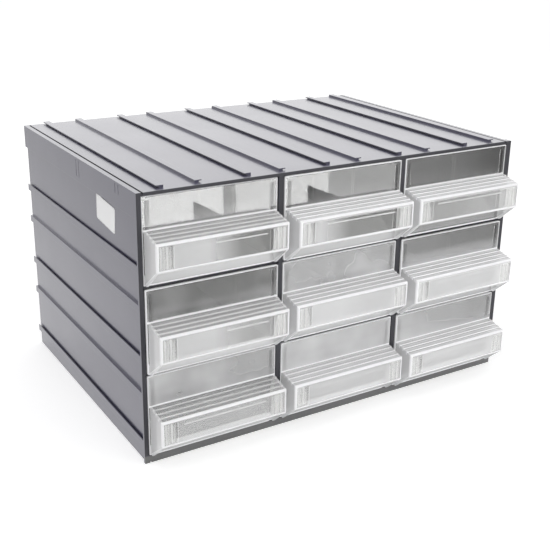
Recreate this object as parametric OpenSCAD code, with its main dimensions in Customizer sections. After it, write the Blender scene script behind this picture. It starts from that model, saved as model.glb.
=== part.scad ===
// Small-parts cabinet: a dark case of clipped plastic panels with columns and rows of
// clear moulded drawers. Cases join by hooked rails: those standing on the top and the right
// side slide into the recesses in the underside and the left side of the next case.
// The frame: origin at the middle of the rest face, X to the right, front towards -Y, Z up.

/* [Case] */
// Width of the case over its front rim
case_w = 380; // [315:1:456]
// Depth from the front edges to the back edges
case_d = 269; // [222:1:322]
// Height from the rest face to the top face, without the rails
case_h = 230.2; // [190:0.1:276]
// Number of drawer columns
columns = 3; // [2:1:4]
// Number of drawer rows
rows = 3; // [2:1:4]

/* [Panels] */
// Thickness of the left side's wall behind its rails
left_wall_t = 1.6; // [1.4:0.1:2.4]
// Thickness of the right side's wall behind its rails
right_wall_t = 3.4; // [2.8:0.1:4.2]
// Thickness of the top and bottom plates
plate_t = 2.6; // [2.4:0.1:4]
// Thickness of the back panel
back_t = 2.5; // [2:0.1:3.5]
// Thickness of the upright partitions
partition_t = 4.6; // [3.8:0.1:6]
// Thickness of the shelves between the rows
shelf_t = 1.5; // [1.2:0.1:2.4]
// Height of the sill and runner ribs on the bottom panel
sill_h = 1.6; // [1.2:0.1:2.6]
// Thickness of the flange along a side panel's top edge
flange_t = 1.4; // [1:0.1:2]
// How far the side panels' flanges lap over the plates
flange_lap = 1; // [0.8:0.1:2]
// Gap between a flange's edge and the plate beside it
seam_gap = 1; // [0.2:0.1:1.2]
// Depth of the grooves that hold shelves and partitions
groove_d = 0.8; // [0.6:0.1:1]
// Depth of the rim along the front edge of the left side
rim_d = 2.8; // [2:0.1:5]
// Width of the clip tongues in the left side's upper band
clip_w = 7; // [4:0.5:9]

/* [Joining rails] */
// Distance from one strip of rails to the next on the top and the underside
rail_pitch = 76.4; // [60:0.1:90]
// Distance from one strip of rails to the next on the sides
side_pitch = 75.8; // [60:0.1:90]
// Height of a rail, which is also the depth of a recess
rail_h = 2; // [1.6:0.1:2.4]
// Width of one rail
rail_w = 6; // [5:0.1:8]
// Width of a strip, which is a pair of rails with hooks turned outwards
strip_w = 38.4; // [32:0.1:42]
// Overhang of a rail's hook
hook_w = 2.4; // [1.6:0.1:3]
// Thickness of a rail's hook
hook_t = 0.8; // [0.6:0.1:1]
// How far two mating hooks reach behind each other
hook_bite = 1.8; // [1:0.1:2]
// Distance from the front edge to the rails
rail_setback = 7; // [5:0.5:12]
// Middle of the first strip on the top, from the left edge
top_strip_x = 38.6; // [36:0.1:46]
// Middle of the lowest strip on the left side, from the rest face
side_strip_z = 1.4; // [0:0.1:4]

/* [Drawers] */
// Thickness of a drawer's front
front_t = 2.2; // [1.8:0.1:3]
// Thickness of a drawer's side and back walls
tub_wall = 1.8; // [1.4:0.1:2.4]
// Thickness of a drawer's floor
tub_floor = 1.8; // [1.4:0.1:2.4]
// Radius of the front's corners
front_r = 1.2; // [0.6:0.1:3]
// Bevel along the front's outer edges
front_bevel = 0.6; // [0.3:0.1:1]
// How far the front overlaps the tub on each side
front_lap = 2.2; // [1.5:0.1:3]
// How far the tub's rim lies below the top of the front
rim_drop = 4.2; // [3.8:0.1:6]
// Radius of the tub's upright corners
tub_r = 5; // [3:0.5:8]
// Depth of the lip along the top of the front
lip_d = 5.5; // [4:0.5:6]
// Side play between a front and the walls beside it
side_play = 0.5; // [0.4:0.1:1]
// Play under a drawer
floor_play = 0.3; // [0.2:0.1:0.6]
// Play over a drawer's front
top_play = 0.4; // [0.3:0.1:0.8]
// Gap between a closed drawer and the back panel
back_play = 0.5; // [0.3:0.1:2]
// How far a closed front lies behind the case's front edges
front_inset = 1; // [0.5:0.1:3]
// Number of divider slots along a drawer
divider_slots = 3; // [0:1:5]

/* [Drawer pulls] */
// How far the pull stands out from the front
pull_d = 22; // [16:0.1:26]
// Height of the pull's upper edge on the front, from the front's lower edge
pull_top = 44.4; // [36:0.1:48]
// Height of the pull's face
face_h = 22; // [16:0.1:24]
// Height of the face's upper edge, from the front's lower edge
face_top = 39.3; // [32:0.1:42]
// Wall thickness of the pull
pull_t = 1.8; // [1.4:0.1:2.4]
// Thickness of the pull's roof at the front
roof_t = 2.2; // [1.8:0.1:3]
// How far the pull's ends lie inside the front's side edges
pull_inset = 1.4; // [1:0.1:4]
// How much narrower the pull's face is than its root, on each side
pull_taper = 0.2; // [0:0.1:3]
// Bevel along the edges of the pull's face
pull_bevel = 0.8; // [0.4:0.1:1.2]
// Number of grip steps on the pull's top
grip_steps = 4; // [2:1:6]
// Width of the label guides behind the face
guide_w = 12.5; // [8:0.5:16]
// Gap between the face and a label guide
label_gap = 1; // [0.6:0.1:1.6]

/* [Stops] */
// Depth of the stop bead under a plate or shelf
bead_d = 2; // [1.6:0.1:2.6]
// Thickness of the stop bead along Y
bead_t = 2; // [1.5:0.1:3]
// Distance from the case's front edge to the stop bead
bead_y = 8; // [7.5:0.5:12]
// Length of a stop nib on the tub's rim
nib_l = 12; // [8:1:16]
// Distance from the back of the tub to its nibs
nib_back = 8; // [4:1:30]

/* [Hidden] */
$fn = 48;
fit = 0.1;                        // clearance on each side of a tongue in its groove
eps = 0.01;                       // overlap that joins two shapes of one moulding
rib_w = 2.5;                      // width of a runner rib
rib_x = 0.3;                      // place of a runner rib from the bay's middle, as a share of the bay
shelf_rib_w = 1.5;                // width of a shelf's stiffening rib
shelf_rib_h = 1.4;                // depth of a shelf's stiffening rib
shelf_rib_front = 4;              // distance from the stop bead to the ribs
shelf_rib_back = 6;               // distance from the ribs to the back panel
nib_play = 0.8;                   // distance from a stop nib to the shelf above
stop_play = 0.5;                  // distance from a nib to the bead at the end of the travel
slot_rib = 1;                     // width and depth of a divider slot's ribs
slot_gap = 2;                     // clear width of a divider slot
slot_drop = 4;                    // distance from a divider slot's top to the tub's rim
step_run = 0.6;                   // tread cut from each grip step's end
step_fall = 0.3;                  // fall of one grip step's tread
pull_low = 0.6;                   // height of the pull's lower edge at the front
pull_out = 2.5;                   // how far the pull's lower edge stands from the front there
guide_t = 1.2;                    // thickness of a label guide
guide_slant = 3.5;                // slant of a label guide's free edge
guide_rib = 0.6;                  // width of a rib on a label guide
guide_rib_h = 0.4;                // height of a rib on a label guide
face_rib_end = 6;                 // distance from a label guide to the rib on the face
face_rib_d = 0.8;                 // depth of the rib on the face
face_rib_h = 0.9;                 // height of the rib on the face
clip_y = [34, 120];               // places of the clip tongues, from the front edge
clip_h = [8, 15];                 // their lengths
clip_top = 1.5;                   // distance from a clip tongue's root to the top face
slit_w = 0.7;                     // width of the slits on both sides of a clip tongue
slit_d = 0.6;                     // depth of those slits

column_names = ["left", "centre", "right", "far_right"];
row_names = ["bottom", "middle", "upper", "top"];
shelf_names = ["low", "mid", "high"];
function column_name(c) = (c == columns - 1) ? "right" : column_names[c];
function row_name(r) = (r == rows - 1) ? "top" : row_names[r];
function shelf_name(s) = (s == rows - 2) ? "high" : shelf_names[s];
function drawer_node(r, c) = str("drawer_", row_name(r), "_", column_name(c));
function shelf_node(s, c) = str("shelf_", shelf_name(s), "_", column_name(c));
function partition_node(c) = (c == 0) ? "partition_left" : (c == columns - 2) ? "partition_right"
    : "partition_middle";

// Case planes. The left side, the right side and the underside have their walls set back by rail_h.
front_y = -case_d / 2;
back_y = case_d / 2;
inner_back_y = back_y - back_t;
left_x = -case_w / 2;
right_x = case_w / 2;
wall_x = left_x + rail_h;
inner_left_x = wall_x + left_wall_t;
recess_x = right_x - rail_h;
inner_right_x = recess_x - right_wall_t;
inner_top_z = case_h - plate_t;
plate_floor_z = rail_h + plate_t;
sill_z = plate_floor_z + sill_h;
plate_x = inner_left_x + flange_lap + seam_gap;
plate_w = inner_right_x - flange_lap - seam_gap - plate_x;

// Bays and rows
bay_w = (inner_right_x - inner_left_x - (columns - 1) * partition_t) / columns;
cell_h = (inner_top_z - sill_z - (rows - 1) * shelf_t) / rows;
function bay_x(c) = inner_left_x + bay_w / 2 + c * (bay_w + partition_t);
function row_z(r) = sill_z + r * (cell_h + shelf_t);
function shelf_z(s) = row_z(s) + cell_h;
function partition_x(c) = bay_x(c) + (bay_w + partition_t) / 2;

// Drawers: how far each stands open at rest, rows from the bottom up
rest_open = [[1, 1, 2.5, 1], [3, 1.5, 3.5, 2], [0, 2.5, 1.5, 1], [1, 0.5, 2, 1]];
function rest_row(r) = (r == rows - 1) ? 2 : r;
front_w = bay_w - 2 * side_play;
front_h = cell_h - floor_play - top_play;
tub_w = front_w - 2 * front_lap;
pull_w = front_w - 2 * pull_inset;
tub_h = front_h - rim_drop;
tub_l = inner_back_y - back_play - (front_y + front_inset);
stop_nib_h = top_play + rim_drop - nib_play;
drawer_travel = tub_l - nib_back - nib_l - (bead_y + bead_t - front_inset) - stop_play;

// Rails: how many whole strips fit, and where the mating strips lie between them
top_mate_w = rail_pitch - strip_w + 2 * hook_bite;
side_mate_w = side_pitch - strip_w + 2 * hook_bite;
top_strips = floor((case_w - top_strip_x - strip_w / 2 - 2) / rail_pitch);
side_strips = floor((case_h - side_strip_z - strip_w / 2) / side_pitch);
rail_l = case_d - rail_setback;
tall_rail_h = 2 * rail_h - fit;

module case_colour() color([0.27, 0.28, 0.31]) children();
module clear_colour() color([0.86, 0.88, 0.86, 0.45]) children();

// A profile drawn in X and Z, carried along Y from y0 for length l
module along_y(y0, l) translate([0, y0 + l, 0]) rotate([90, 0, 0]) linear_extrude(l) children();

// A profile drawn in Y and Z, carried along X and centred on X = 0
module along_x(w) translate([-w / 2, 0, 0]) rotate([90, 0, 90]) linear_extrude(w) children();

// A rectangle with its lower corner at x, y
module rect(x, y, w, h) translate([x, y]) square([w, h]);

// A rectangle with round corners, centred on X and starting at Y = 0
module round_rect(w, l, r) {
    translate([-w / 2 + r, 0]) square([w - 2 * r, l]);
    translate([-w / 2, r]) square([w, l - 2 * r]);
    for (x = [-1, 1], y = [r, l - r]) translate([x * (w / 2 - r), y]) circle(r);
}

// Section of one rail: root on the X axis, standing up by h, hook towards -X
module rail_section(h = rail_h) {
    polygon([
        [hook_w, -eps], [rail_w, -eps], [rail_w, h], [0, h],
        [0, h - hook_t], [hook_w, h - hook_t]
    ]);
}

// Section of a strip of two rails of width w about u = 0, clipped to u_min .. u_max
module strip_section(w, u_min, u_max, h = rail_h) {
    if (-w / 2 >= u_min && -w / 2 + rail_w <= u_max) translate([-w / 2, 0]) rail_section(h);
    if (w / 2 <= u_max && w / 2 - rail_w >= u_min) translate([w / 2, 0]) mirror([1, 0]) rail_section(h);
}

// Section of the band that a strip cut by the top edge leaves on the left side
module band_section(w, u_max) {
    translate([-w / 2, 0]) rail_section();
    rect(-w / 2 + rail_w - eps, -eps, u_max + w / 2 - rail_w + eps, rail_h + eps);
}

// Grooves that take the shelves' tongues in the wall face at x, cut towards dir
module shelf_grooves(x, dir) {
    for (s = [0 : rows - 2]) {
        translate([x + (dir < 0 ? -groove_d : -eps), front_y - eps, shelf_z(s) - fit])
            cube([groove_d + eps, case_d - back_t + 2 * eps, shelf_t + 2 * fit]);
    }
}

// The left panel: a wall set back behind a front rim, rails flush with that rim, a band with
// clip tongues between slits along the upper edge, and flanges that lap the plates
module left_panel() {
    case_colour() difference() {
        union() {
            along_y(front_y, case_d) union() {
                rect(wall_x, 0, left_wall_t, case_h);
                rect(inner_left_x - eps, case_h - flange_t, flange_lap + eps, flange_t);
                rect(inner_left_x - eps, 0, flange_lap + eps, rail_h);
            }
            along_y(front_y, rim_d) rect(left_x, 0, rail_h + eps, case_h);
            for (k = [0 : side_strips + 1]) {
                z = side_strip_z + k * side_pitch;
                cut_short = z + strip_w / 2 > case_h && z - strip_w / 2 + rail_w < case_h;
                along_y(front_y + rim_d - eps, case_d - rim_d + eps) translate([wall_x, z]) rotate(90) {
                    if (cut_short) band_section(strip_w, case_h - z);
                    else strip_section(strip_w, -z, case_h - z);
                }
            }
        }
        shelf_grooves(inner_left_x, -1);
        for (i = [0, 1], side = [0, 1]) {
            slit_y = front_y + clip_y[i] + side * (clip_w - slit_w);
            translate([left_x - eps, slit_y, case_h - clip_top - clip_h[i]])
                cube([slit_d + eps, slit_w, clip_h[i]]);
        }
    }
}

// The right panel: a wall set back behind a front rim, and tall rails that stand past the rim and
// hook into the left side of the next case
module right_panel() {
    case_colour() union() {
        difference() {
            along_y(front_y, case_d) union() {
                rect(inner_right_x, 0, right_wall_t, case_h);
                rect(inner_right_x - flange_lap, case_h - flange_t, flange_lap + eps, flange_t);
                rect(inner_right_x - flange_lap, 0, flange_lap + eps, rail_h);
            }
            shelf_grooves(inner_right_x - eps, 1);
        }
        along_y(front_y, rail_setback) rect(recess_x - eps, 0, rail_h + eps, case_h);
        for (k = [-1 : side_strips + 1]) {
            z = side_strip_z + (k + 0.5) * side_pitch;
            along_y(front_y + rail_setback - eps, rail_l + eps) translate([recess_x, z]) rotate(-90)
                strip_section(side_mate_w, z - case_h, z, tall_rail_h);
        }
    }
}

// A stop bead across one bay, under a plate or shelf whose lower face is at z
module stop_bead(z) {
    translate([-bay_w / 2, front_y + bead_y, z - bead_d]) cube([bay_w, bead_t, bead_d + eps]);
}

// Grooves of depth groove_d for the partitions, opening towards Z = z from side dir
module partition_grooves(z, dir) {
    for (c = [0 : columns - 2]) {
        z0 = z + (dir > 0 ? -eps : -groove_d);
        translate([partition_x(c) - partition_t / 2 - fit, front_y + rail_setback, z0])
            cube([partition_t + 2 * fit, case_d, groove_d + eps]);
    }
}

// The top panel: rebated plate with proud rails on top and stop beads below
module top_panel() {
    case_colour() union() {
        difference() {
            along_y(front_y, case_d) union() {
                rect(plate_x, inner_top_z, plate_w, plate_t);
                rect(inner_left_x, inner_top_z, inner_right_x - inner_left_x, plate_t - flange_t);
            }
            partition_grooves(inner_top_z, 1);
        }
        for (k = [0 : top_strips]) {
            x = left_x + top_strip_x + k * rail_pitch;
            along_y(front_y + rail_setback, rail_l) translate([x, case_h])
                strip_section(strip_w, plate_x - x, plate_x + plate_w - x);
        }
        for (c = [0 : columns - 1]) translate([bay_x(c), 0, 0]) stop_bead(inner_top_z);
    }
}

// The bottom panel: plate, front rim and flush rails below, sill and runner ribs above
module bottom_panel() {
    case_colour() union() {
        difference() {
            along_y(front_y, case_d) rect(inner_left_x, rail_h, inner_right_x - inner_left_x, plate_t);
            partition_grooves(plate_floor_z, -1);
        }
        along_y(front_y, rail_setback) rect(plate_x, 0, plate_w, rail_h + eps);
        for (k = [-1 : top_strips + 1]) {
            x = left_x + top_strip_x + (k + 0.5) * rail_pitch;
            along_y(front_y + rail_setback - eps, rail_l + eps) translate([x, rail_h]) rotate(180)
                strip_section(top_mate_w, x - plate_x - plate_w, x - plate_x);
        }
        for (c = [0 : columns - 1]) translate([bay_x(c), 0, 0]) {
            translate([-bay_w / 2, front_y, plate_floor_z - eps]) cube([bay_w, front_t, sill_h + eps]);
            for (side = [-1, 1]) {
                translate([side * bay_w * rib_x - rib_w / 2, front_y + rail_setback, plate_floor_z - eps])
                    cube([rib_w, case_d - rail_setback - back_t - 1, sill_h + eps]);
            }
        }
    }
}

// The back panel: closes the case between the side panels and the plates
module back_panel() {
    case_colour() difference() {
        translate([inner_left_x, inner_back_y, plate_floor_z])
            cube([inner_right_x - inner_left_x, back_t, inner_top_z - plate_floor_z]);
        for (c = [0 : columns - 2]) {
            translate([partition_x(c) - partition_t / 2 - fit, inner_back_y - eps, plate_floor_z - eps])
                cube([partition_t + 2 * fit, groove_d + eps, inner_top_z - plate_floor_z + 2 * eps]);
        }
    }
}

// A partition: a wall with tongues into the plates and the back, grooved for the shelves
module partition(c) {
    tongue = groove_d - fit;
    case_colour() translate([partition_x(c), 0, 0]) difference() {
        union() {
            translate([-partition_t / 2, front_y, plate_floor_z])
                cube([partition_t, inner_back_y - front_y + tongue, inner_top_z - plate_floor_z]);
            translate([-partition_t / 2, front_y + rail_setback + fit, plate_floor_z - tongue])
                cube([partition_t, inner_back_y - front_y - rail_setback - fit,
                    inner_top_z - plate_floor_z + 2 * tongue]);
        }
        shelf_grooves(partition_t / 2, -1);
        shelf_grooves(-partition_t / 2 - eps, 1);
    }
}

// A shelf: a thin plate with side tongues, stiffening ribs and a stop bead below
module shelf(s, c) {
    tongue = groove_d - fit;
    rib_y = bead_y + bead_t + shelf_rib_front;
    case_colour() translate([bay_x(c), 0, 0]) union() {
        translate([-bay_w / 2 - tongue, front_y + front_inset, shelf_z(s)])
            cube([bay_w + 2 * tongue, inner_back_y - front_y - front_inset, shelf_t]);
        stop_bead(shelf_z(s));
        for (x = [-1, 0, 1]) {
            translate([x * bay_w / 4 - shelf_rib_w / 2, front_y + rib_y, shelf_z(s) - shelf_rib_h])
                cube([shelf_rib_w, case_d - rib_y - back_t - shelf_rib_back, shelf_rib_h + eps]);
        }
    }
}

// Outer section of a pull in Y and Z: grip steps on top, a bevelled face, a slanted lower edge
module pull_outer() {
    run = (pull_d - pull_bevel) / grip_steps;
    fall = (pull_top - face_top) / grip_steps;
    steps = [for (i = [0 : grip_steps - 1], end = [0, 1])
        [-(i + end) * run + (end == 1 ? step_run : 0), pull_top - i * fall - end * step_fall]];
    polygon(concat(
        [[eps, pull_top]], steps,
        [[pull_bevel - pull_d, face_top], [-pull_d, face_top - pull_bevel],
            [-pull_d, face_top - face_h + pull_bevel], [pull_bevel - pull_d, face_top - face_h],
            [-pull_out, pull_low], [eps, pull_low]]
    ));
}

// Inner section of a pull, open below for the fingers
module pull_inner() {
    polygon([
        [0, pull_top - roof_t], [-pull_d + pull_t, face_top - pull_t],
        [-pull_d + pull_t, -1], [0, -1]
    ]);
}

// Plan of a pull of half width w at the front, with its outer corners bevelled by b
module pull_plan(w, b) {
    face_w = w - pull_taper;
    polygon([
        [-w, 0], [w, 0], [face_w, b - pull_d], [face_w - b, -pull_d],
        [b - face_w, -pull_d], [-face_w, b - pull_d]
    ]);
}

// A pull: a hood with stepped top, clear face and end plates, and label guides behind the face
module pull() {
    face_y = -pull_d + pull_t;
    face_half = pull_w / 2 - pull_taper - pull_t;
    rib_half = face_half - guide_w - face_rib_end;
    difference() {
        intersection() {
            along_x(pull_w) pull_outer();
            linear_extrude(pull_top + 1) pull_plan(pull_w / 2, pull_bevel);
        }
        intersection() {
            along_x(pull_w) pull_inner();
            translate([0, 0, -1]) linear_extrude(pull_top + 1) pull_plan(pull_w / 2 - pull_t, eps);
        }
    }
    for (side = [0, 1]) mirror([side, 0, 0]) translate([face_half, face_y + label_gap, face_top - face_h])
        label_guide();
    translate([-rib_half, face_y - eps, face_top - face_rib_end])
        cube([2 * rib_half, face_rib_d, face_rib_h]);
}

// A label guide: a ribbed tab from the pull's end plate, with a slanted free edge
module label_guide() {
    low = 1;
    high = face_h - pull_bevel;
    translate([0, guide_t, 0]) rotate([90, 0, 0]) linear_extrude(guide_t)
        polygon([[-guide_w, low], [1, low], [1, high], [guide_slant - guide_w, high]]);
    for (i = [1 : 3]) {
        translate([-i * guide_w / 5, guide_t - eps, low]) cube([guide_rib, guide_rib_h, high - low - 1]);
    }
}

// The tub behind a drawer's front, with divider slots and stop nibs
module tub() {
    difference() {
        linear_extrude(tub_h) translate([0, eps]) round_rect(tub_w, tub_l - eps, tub_r);
        translate([0, front_t, tub_floor]) linear_extrude(tub_h)
            round_rect(tub_w - 2 * tub_wall, tub_l - front_t - tub_wall, tub_r - tub_wall);
    }
    for (side = [-1, 1]) {
        for (i = [1 : 1 : divider_slots], d = [-1, 1]) {
            translate([side * (tub_w / 2 - tub_wall - slot_rib / 2 + eps) - slot_rib / 2,
                i * tub_l / (divider_slots + 1) + d * (slot_gap + slot_rib) / 2 - slot_rib / 2,
                tub_floor - eps])
                cube([slot_rib, slot_rib, tub_h - tub_floor - slot_drop]);
        }
        translate([side * (tub_w / 2 - tub_wall / 2) - tub_wall / 2, tub_l - nib_back - nib_l, tub_h - eps])
            cube([tub_wall, nib_l, stop_nib_h + eps]);
    }
}

// A drawer's front: a plate with round corners and bevelled outer edges
module front_plate() {
    b = front_bevel;
    intersection() {
        translate([0, front_t, 0]) rotate([90, 0, 0]) linear_extrude(front_t)
            round_rect(front_w, front_h, front_r);
        along_x(front_w + 1) polygon([
            [front_t + eps, -eps], [front_t + eps, front_h + eps], [b, front_h + eps], [b, front_h],
            [0, front_h - b], [0, b], [b, 0], [b, -eps]
        ]);
        translate([0, 0, -1]) linear_extrude(front_h + 2) polygon([
            [-front_w / 2, front_t + eps], [-front_w / 2, b], [b - front_w / 2, 0],
            [front_w / 2 - b, 0], [front_w / 2, b], [front_w / 2, front_t + eps]
        ]);
    }
}

// One drawer as a single clear moulding, with the middle of its front's lower edge at the origin
module drawer_body() {
    front_plate();
    translate([-tub_w / 2 + tub_wall, front_t - eps, front_h - tub_wall])
        cube([tub_w - 2 * tub_wall, lip_d - front_t, tub_wall]);
    tub();
    pull();
}

module drawer(r, c) {
    clear_colour()
        translate([bay_x(c), front_y + front_inset - rest_open[rest_row(r)][c], row_z(r) + floor_play])
            drawer_body();
}

left_panel();
right_panel();
top_panel();
bottom_panel();
back_panel();
for (c = [0 : columns - 2]) {
    partition(c);
}
for (s = [0 : rows - 2], c = [0 : columns - 1]) {
    shelf(s, c);
}
for (r = [0 : rows - 1], c = [0 : columns - 1]) {
    drawer(r, c);
}
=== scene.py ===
# %% [markdown]
# # A small-parts cabinet with nine clear drawers
# The construction is already there: the case's dark panels and the nine clear drawers come in
# as a fixed frame at their real size, in metres, with +Z up and the drawers opening towards -Y.
# This script gives that frame its looks: the finish of the two plastics, the paper label stuck
# on the side, the light and the camera.

# %% Load the frame
import math
from collections import namedtuple

import bpy
import numpy as np
from mathutils import Matrix, Vector


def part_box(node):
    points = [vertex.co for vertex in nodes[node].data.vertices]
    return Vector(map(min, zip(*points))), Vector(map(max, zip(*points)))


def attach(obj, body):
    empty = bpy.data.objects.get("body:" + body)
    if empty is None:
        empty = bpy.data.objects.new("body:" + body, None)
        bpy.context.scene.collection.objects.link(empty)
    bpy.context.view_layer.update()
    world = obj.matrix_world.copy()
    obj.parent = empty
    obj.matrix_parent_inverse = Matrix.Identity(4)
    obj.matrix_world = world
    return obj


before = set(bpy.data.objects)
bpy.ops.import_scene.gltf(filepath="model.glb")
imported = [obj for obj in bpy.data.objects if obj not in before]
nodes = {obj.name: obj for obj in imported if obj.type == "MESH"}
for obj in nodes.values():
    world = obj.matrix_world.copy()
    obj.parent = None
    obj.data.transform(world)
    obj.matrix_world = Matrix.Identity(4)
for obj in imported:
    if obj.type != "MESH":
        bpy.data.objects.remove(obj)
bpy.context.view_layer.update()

scene = bpy.context.scene

# %% [markdown]
# ## Reading sizes from the frame
# The label and the finishes follow the boxes of the case's own panels and drawers, so that
# nothing has to be fitted by eye. MM turns a size in millimetres into Blender's metres.

# %% Sizes of the case
MM = 0.001
left_low, left_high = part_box("left_panel")
right_low, right_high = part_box("right_panel")
RECESS = 2.0 * MM
CASE_LEFT = left_low.x
WALL_LEFT = CASE_LEFT + RECESS
CASE_FRONT = left_low.y
CASE_BACK = left_high.y
CASE_TOP = left_high.z
case_size = (right_high.x - CASE_LEFT, CASE_BACK - CASE_FRONT, CASE_TOP)
drawer_names = sorted(name for name in nodes if name.startswith("drawer_"))
case_names = sorted(name for name in nodes if not name.startswith("drawer_"))
print("case (m):", [round(size, 4) for size in case_size], "drawers:", len(drawer_names))

# %% [markdown]
# ## The camera
# A product view from the front left, a little above. The camera is turned in three steps: yaw
# about the upright axis, pitch down from level, and a slight roll about its own line of sight.
# A constraint that tracks the cabinet would be quicker to set up, but it allows no roll. A small
# lens shift frames the cabinet without tilting the camera, as a view camera's rise does.

# %% Camera
CAMERA_AT = Vector((-449.9, -750.6, 422.3)) * MM
CAMERA_YAW = math.radians(31.942)
CAMERA_PITCH = math.radians(19.912)
CAMERA_ROLL = math.radians(1.059)
LENS_MM = 61.03
SENSOR_MM = 36.0
LENS_SHIFT = (-0.0052, -0.0335)
NEAREST = 10 * MM

camera_data = bpy.data.cameras.new("product_camera")
camera_data.lens = LENS_MM
camera_data.sensor_width = SENSOR_MM
camera_data.sensor_fit = "HORIZONTAL"
camera_data.shift_x, camera_data.shift_y = LENS_SHIFT
camera_data.clip_start = NEAREST
camera = bpy.data.objects.new("product_camera", camera_data)
scene.collection.objects.link(camera)
camera.matrix_world = (
    Matrix.Translation(CAMERA_AT)
    @ Matrix.Rotation(-CAMERA_YAW, 4, "Z")
    @ Matrix.Rotation(math.pi / 2 - CAMERA_PITCH, 4, "X")
    @ Matrix.Rotation(CAMERA_ROLL, 4, "Z")
)
scene.camera = camera
scene.view_settings.view_transform = "Standard"
print("camera at", [round(c, 3) for c in CAMERA_AT], "lens", LENS_MM)

# %% [markdown]
# ## Writing shader maths as Python
# Node trees are hard to read as lists of links. `Wire` wraps one output socket and overloads
# Python's operators, so that `1 - grain * 0.2` adds the Math nodes by itself. `Recipe` is one
# material: its `node` method adds any other node from its type, its settings and its inputs.


# %% Wire: one socket with operators
class Wire:
    """An output socket. Arithmetic with numbers or other wires adds Math nodes."""

    def __init__(self, tree, socket):
        self.tree = tree
        self.socket = socket

    def math(self, operation, *values, clamp=False):
        """A Math node on the values given, in order."""
        maker = self.tree.nodes.new("ShaderNodeMath")
        maker.operation = operation
        maker.use_clamp = clamp
        for into, value in zip(maker.inputs, values):
            if isinstance(value, Wire):
                self.tree.links.new(value.socket, into)
            else:
                into.default_value = value
        return Wire(self.tree, maker.outputs[0])

    def __add__(self, other):
        return self.math("ADD", self, other)

    def __sub__(self, other):
        return self.math("SUBTRACT", self, other)

    def __mul__(self, other):
        return self.math("MULTIPLY", self, other)

    def __truediv__(self, other):
        return self.math("DIVIDE", self, other)

    def __rsub__(self, other):
        return self.math("SUBTRACT", other, self)

    def __abs__(self):
        return self.math("ABSOLUTE", self)

    def band(self, low, high):
        """0 below low, 1 above high and a straight ramp between."""
        return self.math("DIVIDE", self - low, high - low, clamp=True)

    def past(self, edge, soft):
        """0 up to the edge and 1 from soft beyond it."""
        return self.band(edge, edge + soft)

    def before(self, edge, soft):
        """1 up to the edge and 0 from soft beyond it."""
        return 1 - self.past(edge, soft)

    def within(self, low, high, soft):
        """1 between low and high and 0 outside, with ramps as wide as soft on the outside."""
        return self.band(low - soft, low) * self.before(high, soft)

    def most(self, other):
        """The larger of the two."""
        return self.math("MAXIMUM", self, other)

    __radd__ = __add__
    __rmul__ = __mul__


# %% Recipe: one material
class Recipe:
    """A material and its node tree."""

    def __init__(self, name):
        self.material = bpy.data.materials.new(name)
        self.material.use_nodes = True
        self.tree = self.material.node_tree
        self.tree.nodes.clear()

    def node(self, kind, settings=None, inputs=None, output=0):
        """Adds a node of that kind: its settings first, then its sockets, each of which takes a
        number, a colour or a wire."""
        made = self.tree.nodes.new("ShaderNode" + kind)
        for name, value in (settings or {}).items():
            setattr(made, name, value)
        for name, value in (inputs or {}).items():
            if isinstance(value, Wire):
                self.tree.links.new(value.socket, made.inputs[name])
            else:
                made.inputs[name].default_value = value
        return Wire(self.tree, made.outputs[output])

    def place(self, stretch):
        """Object coordinates in metres, scaled along each axis."""
        here = self.node("TexCoord", output="Object")
        return self.node("Mapping", inputs={"Vector": here, "Scale": stretch})

    def axes(self):
        """Object coordinates in metres as three wires."""
        here = self.node("TexCoord", output="Object")
        parts = self.node("SeparateXYZ", inputs={"Vector": here})
        return [Wire(self.tree, output) for output in parts.socket.node.outputs]

    def noise(self, size, detail, stretch=(1, 1, 1)):
        """Soft noise from 0 to 1 whose blobs are about size metres across."""
        inputs = {"Vector": self.place(stretch), "Scale": 1 / size, "Detail": detail}
        return self.node("TexNoise", {"noise_dimensions": "3D"}, inputs)

    def mix_colour(self, share, first, second):
        """first where share is 0 and second where it is 1. A Mix node's colour sockets are its
        inputs 6 and 7 and its output 2."""
        return self.node("Mix", {"data_type": "RGBA"}, {0: share, 6: first, 7: second}, output=2)

    def finish(self, shader):
        """Sends the shader to the material's output and gives the material."""
        out = self.tree.nodes.new("ShaderNodeOutputMaterial")
        self.tree.links.new(shader.socket, out.inputs["Surface"])
        print("material", self.material.name, "-", len(self.tree.nodes), "nodes")
        return self.material


# %% [markdown]
# ## The case's plastic
# The panels are moulded in a dark slate-grey styrene with a satin face. Three things tell it
# from a flat grey: a very fine grain left by the mould's surface, slow changes in gloss where
# the plastic cooled unevenly, and light rub marks that run along the rails, where cabinets
# slide against each other. All three could be painted on unwrapped panels. Noise on Object
# coordinates is used instead, because it needs no unwrapping and runs on from panel to panel.

# %% Colours and patterns of the case
SLATE = (0.046, 0.043, 0.084, 1)
SLATE_WORN = (0.078, 0.075, 0.114, 1)
# The next three colours are painted: shade on the front edges, a highlight on the sill, and
# shade inside and in the seams.
SLATE_FRONT_PAINTED_SHADE = (0.026, 0.026, 0.032, 1)
SLATE_SILL_PAINTED_HIGHLIGHT = (0.085, 0.086, 0.085, 1)
SLATE_INSIDE_PAINTED_SHADE = (0.016, 0.016, 0.022, 1)
SHEEN = (0.97, 0.96, 1.0, 1)
STYRENE_IOR = 1.58
GRAIN_SIZE = 0.45 * MM
FLOW_SIZE = 60 * MM
RUB_WIDTH = 0.5 * MM
RUB_STRETCH = 0.02
RUB_FROM = (0.60, 0.78)
FLOW_TONE = (0.35, 0.75)
FLOW_GLOSS = (0.3, 0.7)
RUB_PALE = 0.25
FLOW_PALE = 0.12
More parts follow.
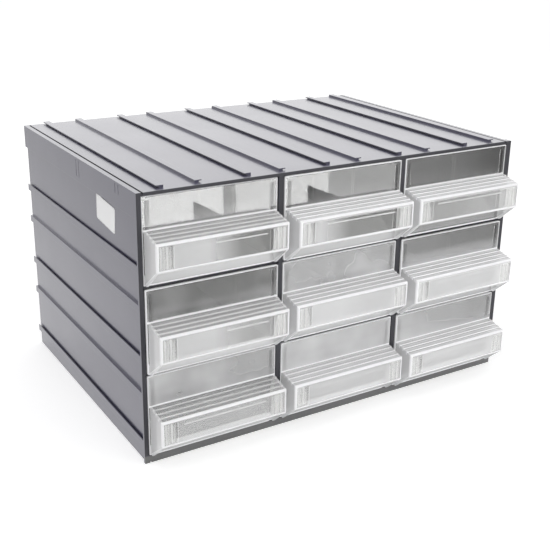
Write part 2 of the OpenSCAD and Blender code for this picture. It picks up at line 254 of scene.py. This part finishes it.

# %% [markdown]
# The narrow front edges of the panels are duller than their broad faces, and their darker colour
# is painted shade, apart from a paler strip along the foot, which is a painted highlight where
# the bottom panel's sill catches the light. The inside and the seams between the panels are
# painted dark too, as painted shade where little light gets in. These places are boxes worked
# out from the panels, which is steadier than an ambient occlusion node and costs nothing.

# %% Places on the case
FRONT_EDGE = 0.4 * MM
SILL_TOP = 6.2 * MM
SILL_SOFT = 1.0 * MM
SEAM_LAP = 0.3 * MM
SEAM_WIDE = 1.0 * MM
SEAM_FOOT = CASE_TOP - 3.0 * MM
HALF_LEFT, HALF_RIGHT, HALF_BACK, HALF_PLATE = 0.8 * MM, 1.7 * MM, 1.2 * MM, 1.3 * MM
INSIDE_SOFT = 0.1 * MM
INSIDE = (
    (WALL_LEFT + HALF_LEFT, -WALL_LEFT - HALF_RIGHT),
    (CASE_FRONT + 2 * FRONT_EDGE, CASE_BACK - HALF_BACK),
    (RECESS + HALF_PLATE, CASE_TOP - HALF_PLATE),
)


def case_places(mix):
    """Three masks: the narrow front edges, which get painted shade; the strip along their lower
    edge, which gets a painted highlight; and the painted shade of the inside, from the middle of
    each wall on, and of the seams of the top panel."""
    x, y, z = mix.axes()
    edge_face = y.before(CASE_FRONT + FRONT_EDGE, FRONT_EDGE)
    above_sill = z.past(SILL_TOP, SILL_SOFT)
    inside = 1
    for axis, (low, high) in zip((x, y, z), INSIDE):
        inside = axis.within(low, high, INSIDE_SOFT) * inside
    left_seam = x.within(left_high.x - SEAM_LAP, left_high.x + SEAM_WIDE + SEAM_LAP, SEAM_LAP)
    right_seam = x.within(right_low.x - SEAM_WIDE - SEAM_LAP, right_low.x + SEAM_LAP, SEAM_LAP)
    seam = left_seam.most(right_seam) * z.past(SEAM_FOOT, SEAM_LAP)
    return edge_face * above_sill, edge_face * (1 - above_sill), inside.most(seam)


# %% [markdown]
# The gloss comes from a clear coat over a rougher body, as on a polished mould's parts, and the
# dull places have no coat. Moulded edges are never quite sharp, so a Bevel node rounds the
# shading over a fraction of a millimetre without touching the mesh.

# %% Case plastic
SATIN = 0.27
FLOW_ROUGH, RUB_ROUGH, GRAIN_ROUGH, DULL_ROUGH = 0.05, 0.05, 0.03, 0.28
COAT_ROUGH, COAT_IOR = 0.22, 1.6
GRAIN_HIGH, RUB_HIGH = 0.6, 0.4
GRAIN_BUMP, GRAIN_DEEP = 0.10, 0.05 * MM
CASE_EDGE = 0.45 * MM
EDGE_SAMPLES = 4


def case_plastic():
    """Dark styrene: a roughness of 0.27 to 0.40 by flow, rub marks and grain, and 0.28 more on
    the dull places, with a fine bump."""
    mix = Recipe("case_plastic")
    grain = mix.noise(GRAIN_SIZE, detail=3)
    flow = mix.noise(FLOW_SIZE, detail=2)
    rub = mix.noise(RUB_WIDTH, detail=1, stretch=(1, RUB_STRETCH, 1)).band(*RUB_FROM)
    pale = rub * RUB_PALE + flow.band(*FLOW_TONE) * FLOW_PALE
    colour = mix.mix_colour(pale, SLATE, SLATE_WORN)
    # The first mask gets painted shade on the front edges, the second a painted highlight along
    # the sill, and the third painted shade inside and in the seams.
    front, foot, painted_shade = case_places(mix)
    colour = mix.mix_colour(foot, colour, SLATE_SILL_PAINTED_HIGHLIGHT)
    colour = mix.mix_colour(front, colour, SLATE_FRONT_PAINTED_SHADE)
    colour = mix.mix_colour(painted_shade, colour, SLATE_INSIDE_PAINTED_SHADE)
    dull = front.most(painted_shade)
    rough = SATIN + flow.band(*FLOW_GLOSS) * FLOW_ROUGH + rub * RUB_ROUGH
    rough = rough + grain * GRAIN_ROUGH + dull * DULL_ROUGH
    bump = mix.node("Bump", inputs={
        "Strength": GRAIN_BUMP,
        "Distance": GRAIN_DEEP,
        "Height": grain * GRAIN_HIGH + rub * RUB_HIGH,
        "Normal": mix.node("Bevel", {"samples": EDGE_SAMPLES}, {"Radius": CASE_EDGE}),
    })
    return mix.finish(mix.node("BsdfPrincipled", inputs={
        "Base Color": colour,
        "Roughness": rough,
        "IOR": STYRENE_IOR,
        "Coat Weight": 1 - dull,
        "Coat Roughness": COAT_ROUGH,
        "Coat IOR": COAT_IOR,
        "Specular Tint": SHEEN,
        "Normal": bump,
    }))


CASE_PLASTIC = case_plastic()

# %% [markdown]
# ## The drawers' clear plastic
# The drawers are crystal styrene: colourless, glossy, and never as flat as glass, so long
# moulding waves run through the fronts. Wherever the moulding has edges, steps or ribs, the
# light is caught and scattered until they look white. Tracing that light through the thin walls
# would take very many samples and still be noisy. Instead, each drawer's material knows that
# drawer's box and paints that light in as a share of white there, as painted highlights: on the
# treads of the pull, on its end plates, round its face and along the outline of the front.
# The sizes below repeat the construction's.

# %% Sizes of a drawer
PULL_DEPTH = 22.0 * MM
FRONT_THICK = 2.2 * MM
PULL_TOP = 44.4 * MM
FACE_TOP = 39.3 * MM
FACE_LOW = 17.3 * MM
ROOF_THICK = 2.2 * MM
WALL_THICK = 1.8 * MM
PULL_BEVEL = 0.8 * MM
PULL_INSET = 1.4 * MM
GUIDE_WIDE = 12.5 * MM
GUIDE_BACK = 5.0 * MM
GUIDE_RIBS = 5
RIB_LOW = 33.3 * MM
RIB_HIGH = 34.2 * MM
TREADS = 4
TREAD_RUN = (PULL_DEPTH - PULL_BEVEL) / TREADS
print("pull: tread run (mm)", round(TREAD_RUN / MM, 2))

# %% [markdown]
# The drawers are alike, but the light on them is not, and light from the floor reaches the lower
# rows best. So each drawer has its own shares of white, which are painted light. Each line below
# gives one drawer's shares: at the left and at the right of its front above the pull, the clouds
# in that painted light, the painted gleam just above the pull, the left and right parts of the
# pull's face and the place along it where they meet, the treads of its hood, and the skirt along
# the front's lower edge.

# %% Painted light on each drawer
PaintedLight = namedtuple(
    "PaintedLight", "front_left front_right cloud gleam pane_left pane_right turn tread skirt"
)
PAINTED_LIGHT_SHARES = {
    "drawer_top_left": PaintedLight(0.03, 0.02, 0.06, 0.16, 0.32, 0.00, 0.50, 0.30, 0.50),
    "drawer_top_centre": PaintedLight(0.02, 0.00, 0.06, 0.08, 0.32, 0.00, 0.30, 0.70, 0.40),
    "drawer_top_right": PaintedLight(0.03, 0.00, 0.03, 0.04, 0.08, 0.14, 0.50, 0.74, 0.16),
    "drawer_middle_left": PaintedLight(0.00, 0.00, 0.20, 0.14, 0.34, 0.12, 0.52, 0.34, 0.56),
    "drawer_middle_centre": PaintedLight(0.18, 0.24, 0.26, 0.06, 0.38, 0.30, 0.50, 0.61, 0.42),
    "drawer_middle_right": PaintedLight(0.10, 0.00, 0.04, 0.28, 0.32, 0.34, 0.50, 0.80, 0.34),
    "drawer_bottom_left": PaintedLight(0.34, 0.20, 0.24, 0.06, 0.20, 0.20, 0.50, 0.20, 0.54),
    "drawer_bottom_centre": PaintedLight(0.38, 0.36, 0.20, 0.10, 0.30, 0.28, 0.50, 0.59, 0.52),
    "drawer_bottom_right": PaintedLight(0.31, 0.14, 0.08, 0.16, 0.34, 0.32, 0.50, 0.65, 0.48),
}
print("painted_light_shares:", len(PAINTED_LIGHT_SHARES))

# %% [markdown]
# Three measures say where a point of a drawer is: `out` from its middle, `back` from the pull's
# face, and `up` from the front's lower edge. Each function below turns them into the white of
# one part. Lines are drawn with soft ramps, so that they stay smooth when seen from afar.

# %% White on the pull's stepped top
LINE = 0.5 * MM
SOFT = 0.25 * MM
RIM = 0.9 * MM
RIM_SOFT = 0.2 * MM
EDGE_WHITE = 0.95
TREAD_EDGE = (0.66, 0.78)
TREAD_LIFT = 0.22
RISER = (0.02, 0.16)
RISER_SOFT = 0.04
RISER_DARK = 0.34
BROW = (0.08 * TREAD_RUN, 0.13 * TREAD_RUN)


def tread_white(out, back, up, share):
    """Each tread is white at its front edge and greyer behind it, with a thin dark line at each
    riser. A white brow runs along the top of the face."""
    slope = (PULL_TOP - FACE_TOP) / PULL_DEPTH
    roof = (up - back * slope).within(FACE_TOP - ROOF_THICK, FACE_TOP + LINE, SOFT)
    paces = (PULL_DEPTH - back) / TREAD_RUN
    step = paces.math("FRACT", paces)
    stripe = step.band(*TREAD_EDGE) * TREAD_LIFT + share
    riser = step.within(*RISER, RISER_SOFT) * RISER_DARK
    brow = (1 - back.band(*BROW)) * up.past(FACE_TOP - RIM, RIM_SOFT) * EDGE_WHITE
    return roof * (stripe - riser).most(brow) * back.before(PULL_DEPTH - SOFT, SOFT)


# %% White on the label guides
GUIDE_STEP = GUIDE_WIDE / GUIDE_RIBS
TAB_WHITE = 0.08
STRONG_RIB, WEAK_RIB = 0.85, 0.5


def guide_ribs(out, pull_half):
    """The upright ribs of the label guides, strong and weak in turn, on a faint tab."""
    inner = pull_half - WALL_THICK
    tab = out.within(inner - GUIDE_WIDE, inner, SOFT) * TAB_WHITE
    for rib in range(1, GUIDE_RIBS + 1):
        edge = inner - rib * GUIDE_STEP
        white = STRONG_RIB if rib % 2 else WEAK_RIB
        tab = tab.most(out.within(edge - LINE, edge, SOFT / 2) * white)
    return tab


def guide_white(out, back, up, pull_half):
    """The label guides behind the face."""
    deep = back.within(WALL_THICK + 2 * SOFT, GUIDE_BACK, SOFT)
    tall = up.within(FACE_LOW, FACE_TOP - WALL_THICK, SOFT)
    return deep * tall * guide_ribs(out, pull_half)


# %% White on the pull's face
BORDER_SIDE, BORDER_FOOT, BORDER_HEAD = 2.3 * MM, 1.6 * MM, 1.0 * MM
BORDER_SOFT = 0.3 * MM
RIB_WHITE = 0.7
RIB_SHORT = 8.0 * MM
RIB_FADE = 1.0 * MM
GUIDE_MARGIN = 2.5 * MM
GUIDE_SEEN = 0.6
GUIDE_CLEAR = 0.6


def face_white(out, back, up, pull_half, pane):
    """A white border all round, a thin rib across, the guides' ribs, and a clearer pane."""
    on_face = back.before(WALL_THICK + SOFT, SOFT)
    side = out.past(pull_half - BORDER_SIDE, BORDER_SOFT)
    foot = up.before(FACE_LOW + BORDER_FOOT, BORDER_SOFT)
    head = up.past(FACE_TOP - BORDER_HEAD, BORDER_SOFT)
    ribs = up.within(FACE_LOW + GUIDE_MARGIN, FACE_TOP - GUIDE_MARGIN, SOFT)
    ribs = ribs * guide_ribs(out, pull_half) * GUIDE_SEEN
    border = (side.most(foot).most(head) * EDGE_WHITE).most(ribs)
    guide_edge = pull_half - WALL_THICK - GUIDE_WIDE
    pane = pane * (1 - out.past(guide_edge - SOFT, SOFT) * GUIDE_CLEAR)
    rib = up.within(RIB_LOW, RIB_HIGH, SOFT) * RIB_WHITE
    rib = rib * back.past(WALL_THICK - LINE, LINE) * back.before(GUIDE_BACK, SOFT)
    rib = rib * out.before(pull_half - GUIDE_WIDE - RIB_SHORT, RIB_FADE)
    return (border.most(pane * on_face) * on_face).most(rib)


# %% White on the pull's end plates
END_FOOT = 1.6 * MM
END_NOSE = 1.2 * MM
END_WHITE = 0.62
END_EDGE = 0.32


def end_white(out, back, up, pull_half):
    """The slanted end plates, whiter along their front and lower edges."""
    plate = out.past(pull_half - WALL_THICK - SOFT, SOFT) * back.before(PULL_DEPTH - SOFT, SOFT)
    slant = up - (PULL_DEPTH - back) * (FACE_LOW / PULL_DEPTH)
    edge = slant.before(END_FOOT, BORDER_SOFT).most(back.before(END_NOSE, BORDER_SOFT))
    return plate * (edge * END_EDGE + END_WHITE)


# %% White on the front plate
RIM_FOOT = 1.2 * MM
RIDGE_HIGH = 1.0 * MM
SKIRT_TOP = 0.50 * FACE_LOW
SKIRT_SOFT = 0.06 * FACE_LOW
GLEAM_HIGH = 14 * MM
CLOUD_SIZE = 40 * MM
CLOUD_STRETCH = 0.2


def front_white(mix, painted_shares, along, out, back, up, half, tall):
    """Painted light on the front: the outline and the ridge where the pull starts are painted
    highlights, the skirt is painted light from the floor, and a painted light with a gleam just
    above the pull runs from its left share to its right one, with clouds on top."""
    on_front = back.within(PULL_DEPTH - LINE, PULL_DEPTH + FRONT_THICK, SOFT)
    outline = out.past(half - RIM, RIM_SOFT).most(up.past(tall - RIM, RIM_SOFT))
    outline = outline.most(up.before(RIM_FOOT, RIM_SOFT))
    ridge = up.within(PULL_TOP - LINE, PULL_TOP + RIDGE_HIGH, SOFT)
    skirt = up.before(SKIRT_TOP, SKIRT_SOFT) * painted_shares.skirt
    cloud = mix.noise(CLOUD_SIZE, detail=2, stretch=(1, CLOUD_STRETCH, 1)) * 2 - 1
    # Painted light on the front above the pull, from this drawer's own shares.
    front_light_painted = along * (painted_shares.front_right - painted_shares.front_left) + painted_shares.front_left
    front_light_painted = front_light_painted + cloud * painted_shares.cloud + up.before(PULL_TOP, GLEAM_HIGH) * painted_shares.gleam
    front_light_painted = front_light_painted * up.past(PULL_TOP - LINE, LINE)
    return (outline.most(ridge) * EDGE_WHITE).most(skirt).most(front_light_painted) * on_front


# %% [markdown]
# The whole drawer takes the whitest of its parts' painted light at each point. `along` runs from
# 0 at the drawer's left side to 1 at its right side, and blends the two halves of the pull's
# pane.

# %% White on the whole drawer
PANE_BLUR = 0.12


def white_share(mix, name):
    """How much white, which is painted light, each point of a drawer shows, from the drawer's
    own box.
    """
    low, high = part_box(name)
    x, y, z = mix.axes()
    along = x.band(low.x, high.x)
    out = abs(x - (low.x + high.x) / 2)
    back = y - low.y
    up = z - low.z
    half = (high.x - low.x) / 2
    pull_half = half - PULL_INSET
    # This drawer's own shares of painted light.
    painted_shares = PAINTED_LIGHT_SHARES[name]
    turn = along.band(painted_shares.turn - PANE_BLUR, painted_shares.turn + PANE_BLUR)
    pane = turn * (painted_shares.pane_right - painted_shares.pane_left) + painted_shares.pane_left
    pull = tread_white(out, back, up, painted_shares.tread)
    pull = pull.most(end_white(out, back, up, pull_half))
    pull = pull.most(face_white(out, back, up, pull_half, pane))
    pull = pull.most(guide_white(out, back, up, pull_half))
    return pull.most(front_white(mix, painted_shares, along, out, back, up, half, high.z - low.z))


# %% [markdown]
# The clear part is a Principled shader that lets nearly all light through, and the white part,
# which is painted light, is a plain one. Real clear walls throw only faint shadows, but a
# renderer blocks lamps behind refracting walls. So a Light Path node swaps in a Transparent
# shader for shadow rays only.

# %% Clear plastic
CRYSTAL = (0.975, 0.978, 0.965, 1)
CRYSTAL_SHADOW = (0.90, 0.90, 0.89, 1)
CRYSTAL_ROUGH, CRYSTAL_CLEAR = 0.02, 0.97
# The next colour is painted light: the white that stands for light caught in the moulding's
# edges, steps and ribs.
PAINTED_WHITE = (0.945, 0.945, 0.96, 1)
PAINTED_WHITE_ROUGH = 0.25
WAVE_SIZE = 22 * MM
WAVE_BUMP, WAVE_DEEP = 0.04, 0.4 * MM


def clear_plastic(name):
    """Clear styrene for one drawer, with the drawer's share of white, which is painted light,
    mixed in.
    """
    mix = Recipe("clear_" + name)
    wave = mix.noise(WAVE_SIZE, detail=1)
    ripple = {"Strength": WAVE_BUMP, "Distance": WAVE_DEEP, "Height": wave}
    body = mix.node("BsdfPrincipled", inputs={
        "Base Color": CRYSTAL,
        "Roughness": CRYSTAL_ROUGH,
        "IOR": STYRENE_IOR,
        "Transmission Weight": CRYSTAL_CLEAR,
        "Normal": mix.node("Bump", inputs=ripple),
    })
    white = {"Base Color": PAINTED_WHITE, "Roughness": PAINTED_WHITE_ROUGH, "IOR": STYRENE_IOR}
    # The white shader is painted light, mixed in by the drawer's share.
    painted_white = mix.node("BsdfPrincipled", inputs=white)
    mixed = mix.node("MixShader", inputs={0: white_share(mix, name), 1: body, 2: painted_white})
    through = mix.node("BsdfTransparent", inputs={"Color": CRYSTAL_SHADOW})
    shadow = mix.node("LightPath", output="Is Shadow Ray")
    return mix.finish(mix.node("MixShader", inputs={0: shadow, 1: mixed, 2: through}))


# %% [markdown]
# ## Dressing the frame
# A node of the frame keeps its mesh and its place. Only its material slots are filled here.


# %% Assign the plastics
def dress(names, material):
    """Puts the material into every slot of the named nodes."""
    for name in names:
        slots = nodes[name].material_slots
        if not slots:
            nodes[name].data.materials.append(material)
        for slot in slots:
            slot.material = material


dress(case_names, CASE_PLASTIC)
for name in drawer_names:
    dress([name], clear_plastic(name))
print("dressed", len(case_names), "case nodes and", len(drawer_names), "drawers")

# %% [markdown]
# ## The paper label
# A small blank label is stuck on the left side, a little askew, between the two upper rails.
# A plain rectangle would do from afar, but a real label has rounded corners, a thickness and a
# corner that starts to lift. So it is a sheet of rings: one outline shrinks towards the middle,
# where a single point closes it, which leaves no hole and no stray edge. A Solidify modifier
# gives the paper its thickness.

# %% Label size and place
LABEL_W = 38.5 * MM
LABEL_H = 22.0 * MM
LABEL_CORNER = 2.0 * MM
LABEL_THICK = 0.12 * MM
LABEL_TILT = math.radians(5.9)
LABEL_AT = (-66.5 * MM, 196.3 * MM)
LABEL_GAP = 0.02 * MM
LABEL_LIFT = 0.5 * MM
PEEL_FROM = 0.72
CORNER_STEPS = 7
LABEL_RINGS = 12


# %% Outline and rings
def rounded_outline(width, height, radius, steps):
    """Points round a rectangle whose corners are quarter circles: each corner's centre plus
    radius times (cos a, sin a), with the angle a running through that corner's quarter."""
    quarter = np.linspace(0, math.pi / 2, steps)
    turn = quarter + (math.pi / 2) * np.arange(4)[:, None]
    corner = np.array([[1, 1], [-1, 1], [-1, -1], [1, -1]])
    centre = corner * (np.array([width, height]) / 2 - radius)
    spoke = np.stack([np.cos(turn), np.sin(turn)], -1)
    return (centre[:, None] + radius * spoke).reshape(-1, 2)


def filled_rings(outline, rings):
    """A flat sheet: ring i is the outline times i / rings, and ring 0 is one point."""
    share = np.linspace(0, 1, rings + 1)[1:]
    points = np.concatenate([[[0.0, 0.0]], (share[:, None, None] * outline).reshape(-1, 2)])
    count = len(outline)
    here = np.arange(count)
    onward = np.roll(here, -1)
    fan = [(0, int(1 + a), int(1 + b)) for a, b in zip(here, onward)]
    base = 1 + np.arange(rings - 1)[:, None] * count
    outer = base + count
    quads = np.stack([base + here, outer + here, outer + onward, base + onward], -1)
    return points, fan + quads.reshape(-1, 4).tolist()


# %% Build the label
def make_label():
    """The sheet lies on the left side: its x runs to the back and its y upwards, turned by the
    tilt. The upper rear corner stands off by the lift times a smooth step of the distance along
    the diagonal, which is 1 at that corner."""
    outline = rounded_outline(LABEL_W, LABEL_H, LABEL_CORNER, CORNER_STEPS)
    flat, faces = filled_rings(outline, LABEL_RINGS)
    along = flat[:, 0] / LABEL_W + flat[:, 1] / LABEL_H
    peel = np.clip((along - PEEL_FROM) / (1 - PEEL_FROM), 0, 1)
    lift = LABEL_LIFT * peel * peel * (3 - 2 * peel)
    cos, sin = math.cos(LABEL_TILT), math.sin(LABEL_TILT)
    y = LABEL_AT[0] + flat[:, 0] * cos - flat[:, 1] * sin
    z = LABEL_AT[1] + flat[:, 0] * sin + flat[:, 1] * cos
    points = np.stack([WALL_LEFT - LABEL_GAP - lift, y, z], -1)
    mesh = bpy.data.meshes.new("side_label")
    mesh.from_pydata(points.tolist(), [], [face[::-1] for face in faces])
    mesh.polygons.foreach_set("use_smooth", np.ones(len(mesh.polygons), bool))
    label = bpy.data.objects.new("side_label", mesh)
    scene.collection.objects.link(label)
    wall = label.modifiers.new("paper", "SOLIDIFY")
    wall.thickness = LABEL_THICK
    wall.offset = 1.0
    return label


label = make_label()
print("label faces:", len(label.data.polygons))

# %% [markdown]
# Paper scatters light evenly, so its finish is white and dull. Fine noise, pressed a little
# longer upwards, gives it faint fibres in its colour, its gloss and its bump.

# %% Label paper
PAPER = (0.93, 0.93, 0.94, 1)
PAPER_FIBRE = (0.97, 0.97, 0.97, 1)
PAPER_ROUGH, FIBRE_ROUGH = 0.5, 0.1
FIBRE_SIZE = 0.3 * MM
FIBRE_STRETCH = 0.4
FIBRE_BUMP, FIBRE_DEEP = 0.2, 0.03 * MM


def label_paper():
    """White coated paper with fibres 0.3 mm wide."""
    mix = Recipe("label_paper")
    fibre = mix.noise(FIBRE_SIZE, detail=4, stretch=(1, 1, FIBRE_STRETCH))
    relief = {"Strength": FIBRE_BUMP, "Distance": FIBRE_DEEP, "Height": fibre}
    return mix.finish(mix.node("BsdfPrincipled", inputs={
        "Base Color": mix.mix_colour(fibre, PAPER, PAPER_FIBRE),
        "Roughness": PAPER_ROUGH + fibre * FIBRE_ROUGH,
        "Normal": mix.node("Bump", inputs=relief),
    }))


label.data.materials.append(label_paper())
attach(label, "case")

# %% [markdown]
# ## The stage
# A white floor takes the soft shadow. Its colour, not extra light, makes the background white:
# a small glow that only the camera, mirrors and clear walls see tops the lit white up to paper
# white, so the shadow under the cabinet stays. In mirrors it fades towards the left and the
# front, which keeps the dark side and the lower fronts from looking washed out.

# %% Floor
FLOOR_HALF = 6.0
FLOOR_WHITE = (0.86, 0.86, 0.86, 1)
FLOOR_GLOW = 0.42
FLOOR_MIRROR = 0.36
MIRROR_FADE = (-0.45, -0.17)
MIRROR_NEAR = (-0.25, -0.12)
NEAR_SHARE = 0.55


def floor_paint():
    """White diffuse paint plus a little emission for camera rays, and less for mirrored ones,
    where it fades towards the left and is weaker in front."""
    mix = Recipe("studio_floor")
    paint = mix.node("BsdfDiffuse", inputs={"Color": FLOOR_WHITE})
    x, y, _ = mix.axes()
    fade = x.band(*MIRROR_FADE) * (y.band(*MIRROR_NEAR) * (1 - NEAR_SHARE) + NEAR_SHARE)
    seen = mix.node("LightPath", output="Is Camera Ray") * FLOOR_GLOW
    mirrored = mix.node("LightPath", output="Is Glossy Ray") * FLOOR_MIRROR
    through = mix.node("LightPath", output="Is Transmission Ray") * FLOOR_MIRROR
    direct = mix.node("Emission", inputs={"Strength": seen.most(through)})
    shine = mix.node("Emission", inputs={"Color": fade, "Strength": mirrored})
    glow = mix.node("AddShader", inputs={0: direct, 1: shine})
    return mix.finish(mix.node("AddShader", inputs={0: paint, 1: glow}))


def make_floor():
    """One square at the height of the rest face."""
    side = FLOOR_HALF
    corners = [(-side, -side, 0), (side, -side, 0), (side, side, 0), (-side, side, 0)]
    mesh = bpy.data.meshes.new("studio_floor")
    mesh.from_pydata(corners, [], [(0, 1, 2, 3)])
    floor = bpy.data.objects.new("studio_floor", mesh)
    scene.collection.objects.link(floor)
    floor.data.materials.append(floor_paint())


make_floor()

# %% [markdown]
# ## Light
# The room is an even white, and three softboxes shape the object: one overhead, one behind and
# above, which the satin top mirrors at a low angle, and one in front, to the left, which brings
# upright faces up to the level of the others. A bare room would light all sides alike and leave
# the panels flat.

# %% World
ROOM_LIGHT = 0.68


def light_world():
    """White for the camera and mirrors, a little less as light."""
    world = bpy.data.worlds.new("studio")
    scene.world = world
    world.use_nodes = True
    tree = world.node_tree
    tree.nodes.clear()
    path = tree.nodes.new("ShaderNodeLightPath")
    seen = Wire(tree, path.outputs["Is Camera Ray"])
    mirrored = Wire(tree, path.outputs["Is Glossy Ray"])
    through = Wire(tree, path.outputs["Is Transmission Ray"])
    strength = seen.most(mirrored).most(through) * (1 - ROOM_LIGHT) + ROOM_LIGHT
    back = tree.nodes.new("ShaderNodeBackground")
    back.inputs["Color"].default_value = (1, 1, 1, 1)
    out = tree.nodes.new("ShaderNodeOutputWorld")
    tree.links.new(strength.socket, back.inputs["Strength"])
    tree.links.new(back.outputs[0], out.inputs["Surface"])


light_world()
print("room light", ROOM_LIGHT)


# %% Softboxes
def area_lamp(name, matrix, size, radiance):
    """A rectangular lamp that shines along its own -Z. Its power in watts is the radiance times
    pi times its area."""
    data = bpy.data.lights.new(name, "AREA")
    data.shape = "RECTANGLE"
    data.size, data.size_y = size
    data.energy = radiance * math.pi * size[0] * size[1]
    lamp = bpy.data.objects.new(name, data)
    scene.collection.objects.link(lamp)
    lamp.visible_camera = False
    lamp.matrix_world = matrix
    print("lamp", name, "watts", round(data.energy, 2))


def softbox(name, place, target, size, radiance):
    """A lamp at place that faces target."""
    aim = (Vector(target) - Vector(place)).to_track_quat("-Z", "Y")
    area_lamp(name, Matrix.Translation(place) @ aim.to_matrix().to_4x4(), size, radiance)


softbox(
    "overhead_softbox",
    place=(-0.3, -0.2, 1.6), target=(0.0, 0.0, 0.1), size=(1.2, 1.2), radiance=0.66,
)
softbox(
    "back_softbox",
    place=(0.35, 1.7, 0.85), target=(0.0, 0.0, 0.15), size=(3.0, 1.0), radiance=0.33,
)
softbox(
    "front_softbox",
    place=(-0.8, -1.7, 1.0), target=(0.0, 0.0, 0.1), size=(1.5, 1.0), radiance=1.6,
)

# %% [markdown]
# The clear fronts are mirrors, so each shows a card that stands where it mirrors the camera's
# view. Upright cards in front give the top row its white sheen with upright edges, brightest on
# the left. Two dim wedges and a fading sheet hang before them, as the gear of a studio would.
# Painting these patches on the fronts would be easier, but they would stay put in other views.
# All of them are out of the camera's own view.

# %% Cards in front
CARD_Y = -0.50
CARD_Z = (0.063, 0.118)
HANG_GAP = 1.0 * MM
WEDGE_Z = (0.070, 0.096)


def upright_card(name, x_range, radiance):
    """A lamp that stands at CARD_Y and shines at the cabinet's front."""
    size = (x_range[1] - x_range[0], CARD_Z[1] - CARD_Z[0])
    middle = Vector((sum(x_range) / 2, CARD_Y, sum(CARD_Z) / 2))
    matrix = Matrix.Translation(middle) @ Matrix.Rotation(math.pi / 2, 4, "X")
    area_lamp(name, matrix, size, radiance)


upright_card("card_top_left", x_range=(-0.035, 0.082), radiance=5.8)
upright_card("card_top_gap", x_range=(0.082, 0.100), radiance=1.8)
upright_card("card_top_mid", x_range=(0.100, 0.238), radiance=4.6)
upright_card("card_top_right", x_range=(0.238, 0.350), radiance=1.6)


# %% Wedges and a sheet before the cards
def hang(name, places, mix, glow):
    """A flat piece before the cards, with its corners at the places (x, z). Only mirrors and
    clear walls see it, with the glow given."""
    corners = [(x, CARD_Y + HANG_GAP, z) for x, z in places]
    mesh = bpy.data.meshes.new(name)
    mesh.from_pydata(corners, [], [tuple(range(len(corners)))])
    piece = bpy.data.objects.new(name, mesh)
    scene.collection.objects.link(piece)
    piece.data.materials.append(mix.finish(mix.node("Emission", inputs=glow)))
    for ray in ("camera", "diffuse", "shadow"):
        setattr(piece, "visible_" + ray, False)


def dim_wedge(name, x_range, radiance):
    """A dim triangle: upright on its left and pointed on its right."""
    (left, right), (low, high) = x_range, WEDGE_Z
    hang(name, [(left, low), (right, low), (left, high)], Recipe(name), {"Strength": radiance})


def fading_sheet(name, x_range, z_range, soft):
    """A sheet as white as the room along its left edge and its foot, and black at the right."""
    (left, right), (low, high) = x_range, z_range
    mix = Recipe(name)
    x, _, z = mix.axes()
    dark = x.band(left, right) * z.past(low, soft)
    places = [(left, low), (right, low), (right, high), (left, high)]
    hang(name, places, mix, {"Color": 1 - dark})


dim_wedge("wedge_left", x_range=(0.040, 0.084), radiance=1.9)
dim_wedge("wedge_mid", x_range=(0.204, 0.262), radiance=0.1)
fading_sheet("sheet_right", x_range=(0.430, 0.600), z_range=(0.060, 0.135), soft=0.020)
